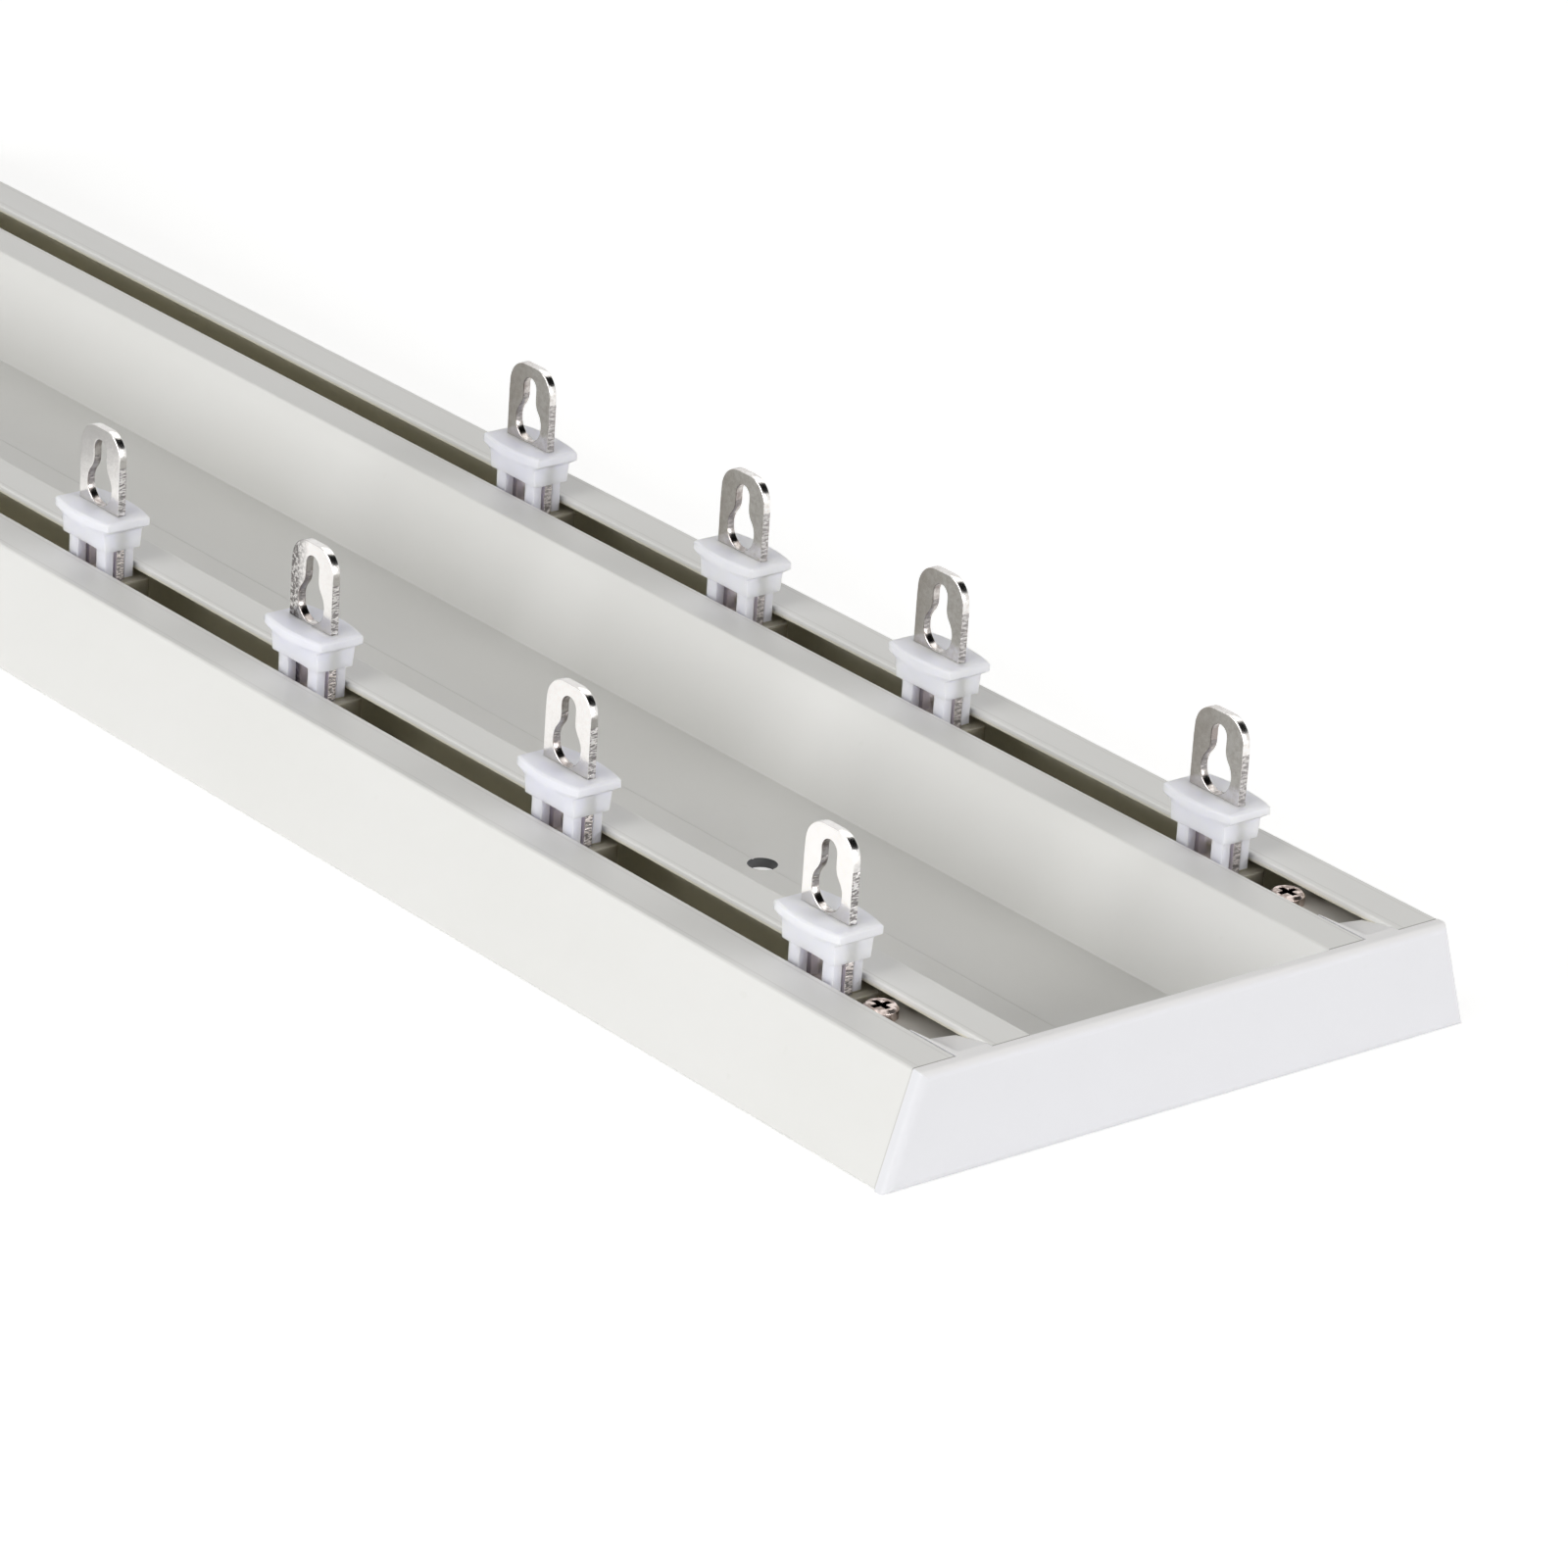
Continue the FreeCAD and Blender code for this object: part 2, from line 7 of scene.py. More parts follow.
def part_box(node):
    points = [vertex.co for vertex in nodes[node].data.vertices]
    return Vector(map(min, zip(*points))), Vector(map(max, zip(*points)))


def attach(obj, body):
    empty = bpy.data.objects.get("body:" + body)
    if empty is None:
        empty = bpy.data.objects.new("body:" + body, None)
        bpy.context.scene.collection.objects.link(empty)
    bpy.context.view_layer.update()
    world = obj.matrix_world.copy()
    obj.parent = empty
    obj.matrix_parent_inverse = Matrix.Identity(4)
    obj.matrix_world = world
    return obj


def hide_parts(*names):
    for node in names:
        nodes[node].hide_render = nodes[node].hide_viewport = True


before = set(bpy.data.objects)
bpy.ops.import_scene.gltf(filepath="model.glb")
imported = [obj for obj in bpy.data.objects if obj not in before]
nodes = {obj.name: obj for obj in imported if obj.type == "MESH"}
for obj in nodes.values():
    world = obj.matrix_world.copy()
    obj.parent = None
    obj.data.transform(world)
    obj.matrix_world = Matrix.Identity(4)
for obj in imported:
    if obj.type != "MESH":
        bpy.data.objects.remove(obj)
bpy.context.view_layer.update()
print("frame loaded")


# small helpers for node trees

def newGroup(name, inputs, outputs, kind="ShaderNodeTree"):
    group = bpy.data.node_groups.new(name, kind)
    for label, socketKind, value in inputs:
        socket = group.interface.new_socket(name=label, in_out="INPUT", socket_type=socketKind)
        if value is not None:
            socket.default_value = value
    for label, socketKind in outputs:
        group.interface.new_socket(name=label, in_out="OUTPUT", socket_type=socketKind)
    return group, group.nodes.new("NodeGroupInput"), group.nodes.new("NodeGroupOutput")


def feed(tree, socket, value):
    # a socket of another node is linked, and any other value is set
    if isinstance(value, bpy.types.NodeSocket):
        tree.links.new(value, socket)
    else:
        socket.default_value = value


def chain(tree, kind, source, sourceName, **values):
    node = tree.nodes.new(kind)
    tree.links.new(source, node.inputs[sourceName])
    for label, value in values.items():
        feed(tree, node.inputs[label.replace("_", " ")], value)
    return node


def noiseOn(tree, vector, scale, detail, roughness):
    return chain(tree, "ShaderNodeTexNoise", vector, "Vector",
                 Scale=scale, Detail=detail, Roughness=roughness).outputs["Fac"]


def stretched(tree, vector, scale):
    return chain(tree, "ShaderNodeMapping", vector, "Vector", Scale=scale).outputs[0]


def remap(tree, value, low, high, toLow=0.0, toHigh=1.0):
    return chain(tree, "ShaderNodeMapRange", value, "Value",
                 From_Min=low, From_Max=high, To_Min=toLow, To_Max=toHigh).outputs["Result"]


def calculate(tree, operation, first, second=None):
    node = tree.nodes.new("ShaderNodeMath")
    node.operation = operation
    feed(tree, node.inputs[0], first)
    if second is not None:
        feed(tree, node.inputs[1], second)
    return node.outputs[0]


def product(tree, first, *others):
    for other in others:
        first = calculate(tree, "MULTIPLY", first, other)
    return first


def mixColour(tree, factor, first, second):
    # a Mix node keeps its colours in sockets 6 and 7, and its plain values in 2 and 3
    node = tree.nodes.new("ShaderNodeMix")
    node.data_type = "RGBA"
    for index, value in ((0, factor), (6, first), (7, second)):
        feed(tree, node.inputs[index], value)
    return node.outputs[2]


def mixValue(tree, factor, first, second):
    node = tree.nodes.new("ShaderNodeMix")
    for index, value in ((0, factor), (2, first), (3, second)):
        feed(tree, node.inputs[index], value)
    return node.outputs[0]


def objectPoint(tree):
    return tree.nodes.new("ShaderNodeTexCoord").outputs["Object"]


def surfaceNormal(tree):
    return tree.nodes.new("ShaderNodeNewGeometry").outputs["Normal"]


def ownPart(tree, vector, name):
    return chain(tree, "ShaderNodeSeparateXYZ", vector, "Vector").outputs[name]


def unsigned(tree, value):
    return calculate(tree, "ABSOLUTE", value)


def within(tree, value, low, high):
    above = calculate(tree, "GREATER_THAN", value, low)
    return product(tree, above, calculate(tree, "LESS_THAN", value, high))


def axisDistance(tree, point, along, across):
    # distance from the nearest of the upright axes at (+-along, +-across)
    x = calculate(tree, "SUBTRACT", unsigned(tree, ownPart(tree, point, "X")), along)
    y = calculate(tree, "SUBTRACT", unsigned(tree, ownPart(tree, point, "Y")), across)
    squares = calculate(tree, "ADD", product(tree, x, x), product(tree, y, y))
    return calculate(tree, "SQRT", squares)


# surface effects that every finish shares; a noise is (scale per metre, detail, roughness)

grainNoise = {"grain": (2.0, 0.55), "wave": (1.0, 0.5)}  # their scales are inputs
wearNoise = {"cloud": (22.0, 4.0, 0.6), "cloudRange": (0.38, 0.68),
             "speck": (420.0, 1.0, 0.5), "speckRange": (0.74, 0.80),
             "smear": (1.0, 3.0, 0.6), "smearScale": (12.0, 160.0, 160.0), "smearRange": (0.3, 0.7)}


def makeFineGrain():
    inputs = [("Vector", "NodeSocketVector", None), ("Grain per metre", "NodeSocketFloat", 900.0),
              ("Wave per metre", "NodeSocketFloat", 90.0), ("Wave share", "NodeSocketFloat", 0.5)]
    group, given, out = newGroup("fineGrain", inputs, [("Height", "NodeSocketFloat")])
    vector = given.outputs["Vector"]
    grain = noiseOn(group, vector, given.outputs["Grain per metre"], *grainNoise["grain"])
    wave = noiseOn(group, vector, given.outputs["Wave per metre"], *grainNoise["wave"])
    both = calculate(group, "ADD", grain, product(group, wave, given.outputs["Wave share"]))
    group.links.new(both, out.inputs["Height"])
    return group


def makeHandling():
    inputs = [("Vector", "NodeSocketVector", None), ("Clean colour", "NodeSocketColor", (0.8, 0.8, 0.8, 1)),
              ("Dull colour", "NodeSocketColor", (0.7, 0.7, 0.68, 1)), ("Amount", "NodeSocketFloat", 0.3),
              ("Low roughness", "NodeSocketFloat", 0.3), ("High roughness", "NodeSocketFloat", 0.45)]
    outputs = [("Colour", "NodeSocketColor"), ("Roughness", "NodeSocketFloat")]
    group, given, out = newGroup("handling", inputs, outputs)
    vector = given.outputs["Vector"]
    cloud = remap(group, noiseOn(group, vector, *wearNoise["cloud"]), *wearNoise["cloudRange"])
    specks = remap(group, noiseOn(group, vector, *wearNoise["speck"]), *wearNoise["speckRange"])
    mask = product(group, calculate(group, "MAXIMUM", cloud, specks), given.outputs["Amount"])
    colour = mixColour(group, mask, given.outputs["Clean colour"], given.outputs["Dull colour"])
    group.links.new(colour, out.inputs["Colour"])
    smear = noiseOn(group, stretched(group, vector, wearNoise["smearScale"]), *wearNoise["smear"])
    rough = remap(group, smear, *wearNoise["smearRange"],
                  given.outputs["Low roughness"], given.outputs["High roughness"])
    group.links.new(rough, out.inputs["Roughness"])
    return group


fineGrain = makeFineGrain()
handling = makeHandling()
print("shared effects ready")


def newMaterial(name, **values):
    material = bpy.data.materials.new(name)
    material.use_nodes = True
    tree = material.node_tree
    shader = tree.nodes["Principled BSDF"]
    for label, value in values.items():
        shader.inputs[label.replace("_", " ")].default_value = value
    return material, tree, shader


def useGroup(tree, group, vector, values):
    node = tree.nodes.new("ShaderNodeGroup")
    node.node_tree = group
    tree.links.new(vector, node.inputs["Vector"])
    for name, value in values.items():
        node.inputs[name].default_value = value
    return node


def handledSurface(tree, point, finish):
    # a finish's colour and roughness with the marks of handling, and the height of its grain
    low, high = finish["roughness"]
    marks = useGroup(tree, handling, point, {
        "Clean colour": finish["clean"], "Dull colour": finish["dull"], "Amount": finish["amount"],
        "Low roughness": low, "High roughness": high})
    grain = useGroup(tree, fineGrain, point, {
        "Grain per metre": finish["grain"], "Wave per metre": finish["wave"],
        "Wave share": finish["waveShare"]})
    return marks.outputs["Colour"], marks.outputs["Roughness"], grain.outputs["Height"]


def dressShader(tree, shader, colour, rough, height, relief):
    tree.links.new(colour, shader.inputs["Base Color"])
    tree.links.new(rough, shader.inputs["Roughness"])
    bump = chain(tree, "ShaderNodeBump", height, "Height", Strength=1.0, Distance=relief)
    tree.links.new(bump.outputs["Normal"], shader.inputs["Normal"])


# outlines of the extrusion and of the eyelet plate, in metres

def arcPoints(centre, radius, start, end, steps):
    angles = [start + (end - start) * step / steps for step in range(steps + 1)]
    return [Vector((centre[0] + radius * math.cos(a), centre[1] + radius * math.sin(a))) for a in angles]


def roundedLoop(corners, steps):
    # each corner is (across, up, rounding)
    points = []
    count = len(corners)
    for index, (across, up, radius) in enumerate(corners):
        here = Vector((across, up))
        back = (Vector(corners[index - 1][:2]) - here).normalized()
        forth = (Vector(corners[(index + 1) % count][:2]) - here).normalized()
        if radius == 0:
            points.append(here)
            continue
        half = back.angle(forth) / 2
        centre = here + (back + forth).normalized() * (radius / math.sin(half))
        first = here + back * (radius / math.tan(half)) - centre
        last = here + forth * (radius / math.tan(half)) - centre
        swing = first.angle_signed(last)
        for step in range(steps + 1):
            turn = Matrix.Rotation(-swing * step / steps, 2)
            points.append(centre + turn @ first)
    return points


section = {"length": 0.4, "baseHalf": 0.05, "crownHalf": 0.045, "height": 0.0158, "wall": 0.0013,
           "web": 0.0014, "lip": 0.0012, "slotMiddle": 0.035, "slotHalf": 0.003, "mouthHalf": 0.0256,
           "floorHalf": 0.0197, "grooveHalf": 0.00025, "grooveDepth": 0.00012,
           "edgeRound": 0.0005, "lipRound": 0.00028, "mouthRound": 0.0004, "cornerRound": 0.00012,
           "arcSteps": 6, "sharpAngle": 30,
           "holePitch": 0.229, "holeRadius": 0.0021, "drillSides": 48, "drillDepth": 0.0056}


def sectionLoop():
    slope = (section["baseHalf"] - section["crownHalf"]) / section["height"]
    rise = (section["mouthHalf"] - section["floorHalf"]) / (section["height"] - section["web"])
    crown, web = section["height"], section["web"]
    ceiling = crown - section["lip"]

    def outer(level):
        return section["baseHalf"] - slope * level - section["wall"]

    def inner(level):
        return section["floorHalf"] + rise * (level - web) + section["wall"]

    slotOut = section["slotMiddle"] + section["slotHalf"]
    slotIn = section["slotMiddle"] - section["slotHalf"]
    edge, lip = section["edgeRound"], section["lipRound"]
    half = [
        (section["baseHalf"], 0, edge), (section["crownHalf"], crown, edge),
        (slotOut, crown, lip), (slotOut, ceiling, lip),
        (outer(ceiling), ceiling, 0), (outer(web), web, 0),
        (inner(web), web, 0), (inner(ceiling), ceiling, 0),
        (slotIn, ceiling, lip), (slotIn, crown, lip),
        (section["mouthHalf"], crown, section["mouthRound"]),
        (section["floorHalf"], web, section["cornerRound"]), (section["grooveHalf"], web, 0)]
    guide = [(0, web - section["grooveDepth"], 0)]
    mirrored = [(-across, up, radius) for across, up, radius in reversed(half)]
    return roundedLoop(half + guide + mirrored, section["arcSteps"])


eyelet = {"width": 0.0098, "thickness": 0.0013, "foot": 0.0116, "top": 0.03555, "arch": 0.0036,
          "bulbMiddle": 0.02675, "bulbRadius": 0.0030, "slotHalf": 0.0015, "slotTop": 0.03365,
          "neckRound": 0.0028, "bevel": 0.00016,
          "archSteps": 14, "bulbSteps": 18, "neckSteps": 5, "slotSteps": 8}


def plateLoops():
    half, foot, top, arch = eyelet["width"] / 2, eyelet["foot"], eyelet["top"], eyelet["arch"]
    corners = [(-half, foot, 0), (half, foot, 0), (half, top, arch), (-half, top, arch)]
    outside = roundedLoop(corners, eyelet["archSteps"])
    # keyhole: round bulb, a hollow rounding on each side, and a parallel slot above
    reach = eyelet["bulbRadius"] + eyelet["neckRound"]
    aside = eyelet["slotHalf"] + eyelet["neckRound"]
    above = math.sqrt(reach ** 2 - aside ** 2)
    meet = math.atan2(above, aside)
    bulb = (0.0, eyelet["bulbMiddle"])
    right = arcPoints(bulb, eyelet["bulbRadius"], -math.pi / 2, meet, eyelet["bulbSteps"])
    neck = (aside, eyelet["bulbMiddle"] + above)
    right += arcPoints(neck, eyelet["neckRound"], meet + math.pi, math.pi, eyelet["neckSteps"])[1:]
    crown = (0.0, eyelet["slotTop"] - eyelet["slotHalf"])
    right += arcPoints(crown, eyelet["slotHalf"], 0.0, math.pi / 2, eyelet["slotSteps"])
    left = [Vector((-point.x, point.y)) for point in reversed(right[1:-1])]
    return outside, right + left


def loopMesh(name, *loops):
    points, edges = [], []
    for loop in loops:
        first, count = len(points), len(loop)
        points += [(point.x, point.y, 0.0) for point in loop]
        edges += [(first + index, first + (index + 1) % count) for index in range(count)]
    mesh = bpy.data.meshes.new(name)
    mesh.from_pydata(points, edges, [])
    return mesh


# finishes

powderCoat = {"clean": (0.80, 0.795, 0.765, 1), "dull": (0.74, 0.735, 0.69, 1), "amount": 0.3,
              "roughness": (0.36, 0.46), "grain": 1500.0, "wave": 260.0, "waveShare": 1.2,
              "relief": 0.00001, "coat": 0.25, "coatRoughness": 0.12,
              "inside": (0.80, 0.77, 0.64, 1), "insideLip": 0.6,
              "drilled": (0.075, 0.078, 0.08, 1), "drilledReach": 1.02,
              "seam": (0.36, 0.34, 0.32, 1), "seamStart": 0.19978, "seamLift": (0.4, 0.8), "seamSide": 0.35,
              "dieLine": (0.70, 0.69, 0.655, 1),
              "dieLines": ((0.03125, 0.00022), (0.03895, 0.0002), (0.04400, 0.00016))}


def insideChannel(tree, point):
    # 1 on the walls that face into one of the two channels
    up = ownPart(tree, point, "Z")
    out = unsigned(tree, ownPart(tree, point, "Y"))
    inner = remap(tree, up, section["web"], section["height"], section["floorHalf"], section["mouthHalf"])
    outer = remap(tree, up, 0.0, section["height"], section["baseHalf"], section["crownHalf"])
    half = section["wall"] / 2
    past = calculate(tree, "GREATER_THAN", calculate(tree, "SUBTRACT", out, inner), half)
    short = calculate(tree, "GREATER_THAN", calculate(tree, "SUBTRACT", outer, out), half)
    lipLevel = section["height"] - powderCoat["insideLip"] * section["lip"]
    return product(tree, past, short, within(tree, up, section["web"] / 2, lipLevel))


def makePowderCoat():
    material, tree, shader = newMaterial(
        "powderCoat", Coat_Weight=powderCoat["coat"], Coat_Roughness=powderCoat["coatRoughness"])
    point = objectPoint(tree)
    colour, rough, height = handledSurface(tree, point, powderCoat)
    # painted shade: the walls inside the two channels are given a darker, yellower colour where shade falls
    colour = mixColour(tree, insideChannel(tree, point), colour, powderCoat["inside"])
    # painted shade: the walls of the two drilled holes are made near black
    fromAxis = axisDistance(tree, point, section["holePitch"] / 2, 0.0)
    drilled = calculate(tree, "LESS_THAN", fromAxis, section["holeRadius"] * powderCoat["drilledReach"])
    colour = mixColour(tree, drilled, colour, powderCoat["drilled"])
    # faint lines that the die left along the lips, each (middle, half width)
    out = unsigned(tree, ownPart(tree, point, "Y"))
    for middle, half in powderCoat["dieLines"]:
        away = unsigned(tree, calculate(tree, "SUBTRACT", out, middle))
        colour = mixColour(tree, remap(tree, away, half, 0.0), colour, powderCoat["dieLine"])
    # the joint at each cap, darkest on the faces that look up
    along = unsigned(tree, ownPart(tree, point, "X"))
    lift = ownPart(tree, surfaceNormal(tree), "Z")
    joint = product(tree, calculate(tree, "GREATER_THAN", along, powderCoat["seamStart"]),
                    remap(tree, lift, *powderCoat["seamLift"], powderCoat["seamSide"], 1.0))
    colour = mixColour(tree, joint, colour, powderCoat["seam"])
    dressShader(tree, shader, colour, rough, height, powderCoat["relief"])
    return material


capPlastic = {"clean": (0.80, 0.80, 0.82, 1), "dull": (0.75, 0.75, 0.765, 1), "amount": 0.25,
              "roughness": (0.42, 0.52), "grain": 2600.0, "wave": 500.0, "waveShare": 0.6,
              "relief": 0.000015, "crown": (0.93, 0.92, 0.91, 1), "crownLift": (0.4, 0.9),
              "plug": (0.50, 0.48, 0.445, 1), "plugLevels": (0.0128, 0.01352), "plugReach": 0.1996}


def makeCapPlastic():
    material, tree, shader = newMaterial("capPlastic")
    point = objectPoint(tree)
    colour, rough, height = handledSurface(tree, point, capPlastic)
    # painted highlight: the plastic is made paler on the faces that look up, where light falls on the crown;
    # the plugs' tops, down in the channels, are grey
    crown = remap(tree, ownPart(tree, surfaceNormal(tree), "Z"), *capPlastic["crownLift"])
    colour = mixColour(tree, crown, colour, capPlastic["crown"])
    along = unsigned(tree, ownPart(tree, point, "X"))
    plug = product(tree, within(tree, ownPart(tree, point, "Z"), *capPlastic["plugLevels"]),
                   calculate(tree, "LESS_THAN", along, capPlastic["plugReach"]))
    colour = mixColour(tree, plug, colour, capPlastic["plug"])
    dressShader(tree, shader, colour, rough, height, capPlastic["relief"])
    return material


nylon = {"clean": (0.86, 0.865, 0.94, 1), "dull": (0.79, 0.795, 0.90, 1), "amount": 0.5,
         "roughness": (0.28, 0.42), "grain": 900.0, "wave": 320.0, "waveShare": 1.5, "relief": 0.00002,
         "scatter": 1.0, "scatterScale": 0.0025, "scatterRadius": (0.9, 0.9, 1.0), "refraction": 1.52,
         "deep": (0.34, 0.34, 0.38, 1), "legs": (0.0140, 0.0195), "legShare": 0.4,
         "shoe": (0.40, 0.375, 0.30, 1), "shoeTop": 0.0138,
         "shoeSide": (0.90, 0.90, 0.95, 1), "shoeAcross": (-0.0011, -0.0019)}


def makeNylon():
    material, tree, shader = newMaterial(
        "nylon", Subsurface_Weight=nylon["scatter"], Subsurface_Scale=nylon["scatterScale"],
        Subsurface_Radius=nylon["scatterRadius"], IOR=nylon["refraction"])
    point = objectPoint(tree)
    colour, rough, height = handledSurface(tree, point, nylon)
    # painted shade: the legs are made greyer towards the channel, and the shoe below the lips is painted
    # dark but for its near side
    up = ownPart(tree, point, "Z")
    depth = remap(tree, up, *nylon["legs"], nylon["legShare"], 0.0)
    colour = mixColour(tree, depth, colour, nylon["deep"])
    y = ownPart(tree, point, "Y")
    row = product(tree, calculate(tree, "SIGN", y), section["slotMiddle"])
    across = calculate(tree, "SUBTRACT", y, row)
    shoe = mixColour(tree, remap(tree, across, *nylon["shoeAcross"]), nylon["shoe"], nylon["shoeSide"])
    colour = mixColour(tree, calculate(tree, "LESS_THAN", up, nylon["shoeTop"]), colour, shoe)
    dressShader(tree, shader, colour, rough, height, nylon["relief"])
    return material


plateNickel = {"clean": (0.81, 0.795, 0.78, 1), "dull": (0.65, 0.63, 0.61, 1), "amount": 0.6,
               "roughness": (0.14, 0.24), "grain": 2400.0, "wave": 400.0, "waveShare": 0.8,
               "relief": 0.000012, "shade": (0.43, 0.385, 0.345, 1), "shadeAcross": (-0.0046, 0.0016),
               "shadeMost": 0.9, "blotch": (520.0, 3.0, 0.6),
               "cloud": (1500.0, 3.0, 0.7), "cloudRange": (0.42, 0.62), "cloudMost": 0.35, "cloudNear": 0.3,
               "held": (0.80, 0.735, 0.71, 1), "heldTop": 0.0215,
               "scuffs": (0.13, 0.12, 0.115, 1), "scuffAlong": (0.0552, 0.0527), "scuffFrom": 0.05,
               "mottle": (2400.0, 2.0, 0.7), "mottleRange": (0.40, 0.56), "mottleLeast": 0.35,
               "bore": (0.30, 0.265, 0.25, 1), "boreReach": 0.0033, "boreFacing": (0.97, 0.80),
               "boreBlotch": (0.40, 0.60), "boreLeast": 0.35,
               "sheared": (0.26, 0.245, 0.24, 1), "shearFacing": (0.93, 0.97), "shearTop": 0.0308,
               "bands": (1.0, 2.0, 0.7), "bandScale": (1.0, 900.0, 3000.0), "bandRange": (0.42, 0.56),
               "bandFar": 0.45, "shearRoughness": 0.45, "shearDepth": -6.0}


def makePlateNickel():
    finish = plateNickel
    material, tree, shader = newMaterial("nickelPlate", Metallic=1.0)
    point = objectPoint(tree)
    colour, rough, height = handledSurface(tree, point, finish)
    keptAcross = tree.nodes.new("ShaderNodeAttribute")
    keptAcross.attribute_name = "across"
    across = keptAcross.outputs["Fac"]
    normal = surfaceNormal(tree)
    along, up = ownPart(tree, point, "X"), ownPart(tree, point, "Z")
    farRow = calculate(tree, "GREATER_THAN", ownPart(tree, point, "Y"), 0.0)
    nearRow = calculate(tree, "SUBTRACT", 1.0, farRow)
    # painted reflection: the far plates, which reflect the darker trough, are made darker, most of all on
    # their left side; the random mottle below uses the same colour
    blotch = noiseOn(tree, point, *finish["blotch"])
    left = remap(tree, across, *finish["shadeAcross"], finish["shadeMost"], 0.0)
    colour = mixColour(tree, product(tree, left, farRow, blotch), colour, finish["shade"])
    cloud = noiseOn(tree, point, *finish["cloud"])
    cloud = product(tree, remap(tree, cloud, *finish["cloudRange"], 0.0, finish["cloudMost"]),
                    mixValue(tree, farRow, finish["cloudNear"], 1.0))
    colour = mixColour(tree, cloud, colour, finish["shade"])
    # inside the runner the plate is browner
    held = calculate(tree, "LESS_THAN", up, finish["heldTop"])
    colour = mixColour(tree, held, colour, finish["held"])
    # one near plate is scuffed on its left side
    worn = product(tree, remap(tree, along, *finish["scuffAlong"]),
                   calculate(tree, "GREATER_THAN", along, finish["scuffFrom"]), nearRow)
    mottle = noiseOn(tree, point, *finish["mottle"])
    mottle = remap(tree, mottle, *finish["mottleRange"], finish["mottleLeast"], 1.0)
    colour = mixColour(tree, product(tree, worn, mottle), colour, finish["scuffs"])
    # painted shade: the punched keyhole's wall is made darker than the face, in blotches
    facing = remap(tree, unsigned(tree, ownPart(tree, normal, "Y")), *finish["boreFacing"])
    hole = product(tree, calculate(tree, "LESS_THAN", unsigned(tree, across), finish["boreReach"]), facing,
                   calculate(tree, "LESS_THAN", up, eyelet["slotTop"]),
                   remap(tree, blotch, *finish["boreBlotch"], finish["boreLeast"], 1.0))
    colour = mixColour(tree, hole, colour, finish["bore"])
    # the straight side edges are torn by the shear, in bands across the sheet; on the far row they are also
    # painted darker between the bands, as painted shade
    side = product(tree, remap(tree, unsigned(tree, ownPart(tree, normal, "X")), *finish["shearFacing"]),
                   calculate(tree, "LESS_THAN", up, finish["shearTop"]))
    bands = noiseOn(tree, stretched(tree, point, finish["bandScale"]), *finish["bands"])
    torn = remap(tree, bands, *finish["bandRange"], product(tree, farRow, finish["bandFar"]), 1.0)
    torn = product(tree, side, torn)
    colour = mixColour(tree, torn, colour, finish["sheared"])
    rough = mixValue(tree, side, rough, finish["shearRoughness"])
    height = calculate(tree, "ADD", height, product(tree, torn, finish["shearDepth"]))
    dressShader(tree, shader, colour, rough, height, finish["relief"])
    return material


screw = {"along": 0.1815, "bevel": 0.00012}

screwNickel = {"clean": (0.80, 0.69, 0.64, 1), "dull": (0.6, 0.5, 0.46, 1), "amount": 0.6,
               "roughness": (0.2, 0.34), "grain": 2400.0, "wave": 400.0, "waveShare": 0.8,
               "relief": 0.000012, "stain": (0.20, 0.145, 0.12, 1),
               "patches": (900.0, 1.0, 0.5), "patchRange": (0.45, 0.60), "patchMost": 0.8,
               "recess": (0.02, 0.015, 0.012, 1), "recessReach": 0.0018, "recessLevels": (0.0139, 0.01488)}


def makeScrewNickel():
    finish = screwNickel
    material, tree, shader = newMaterial("nickelScrew", Metallic=1.0)
    point = objectPoint(tree)
    colour, rough, height = handledSurface(tree, point, finish)
    patches = remap(tree, noiseOn(tree, point, *finish["patches"]), *finish["patchRange"],
                    0.0, finish["patchMost"])
    colour = mixColour(tree, patches, colour, finish["stain"])
    # painted shade: the cross recess is made near black
    fromAxis = axisDistance(tree, point, screw["along"], section["slotMiddle"])
    recess = product(tree, calculate(tree, "LESS_THAN", fromAxis, finish["recessReach"]),
                     within(tree, ownPart(tree, point, "Z"), *finish["recessLevels"]))
    colour = mixColour(tree, recess, colour, finish["recess"])
    dressShader(tree, shader, colour, rough, height, finish["relief"])
    return material


coatMaterial = makePowderCoat()
capMaterial = makeCapPlastic()
nylonMaterial = makeNylon()
plateMaterial = makePlateNickel()
screwMaterial = makeScrewNickel()
print("finishes ready")


# Geometry Nodes

weldWithin = 1e-6  # points nearer than this are one point


def solidFromLoops(tree, loops, length):
    # fill the outlines, push them out along the plane's normal and close the back
    curve = chain(tree, "GeometryNodeMeshToCurve", loops, "Mesh").outputs[0]
    fill = chain(tree, "GeometryNodeFillCurve", curve, "Curve")
    fill.mode = "NGONS"
    face = fill.outputs[0]
    push = chain(tree, "GeometryNodeExtrudeMesh", face, "Mesh", Offset_Scale=length, Individual=False)
    push.mode = "FACES"
    back = chain(tree, "GeometryNodeFlipFaces", face, "Mesh").outputs[0]
    both = chain(tree, "GeometryNodeJoinGeometry", push.outputs["Mesh"], "Geometry")
    tree.links.new(back, both.inputs["Geometry"])
    welded = chain(tree, "GeometryNodeMergeByDistance", both.outputs[0], "Geometry", Distance=weldWithin)
    return welded.outputs[0]


def finishTree(tree, given, out, geometry):
    real = chain(tree, "GeometryNodeRealizeInstances", geometry, "Geometry").outputs[0]
    painted = chain(tree, "GeometryNodeSetMaterial", real, "Geometry", Material=given.outputs["Material"])
    tree.links.new(painted.outputs[0], out.inputs["Geometry"])
    return tree


def newTree(name, inputs):
    inputs = [("Geometry", "NodeSocketGeometry", None)] + inputs + [("Material", "NodeSocketMaterial", None)]
    return newGroup(name, inputs, [("Geometry", "NodeSocketGeometry")], "GeometryNodeTree")


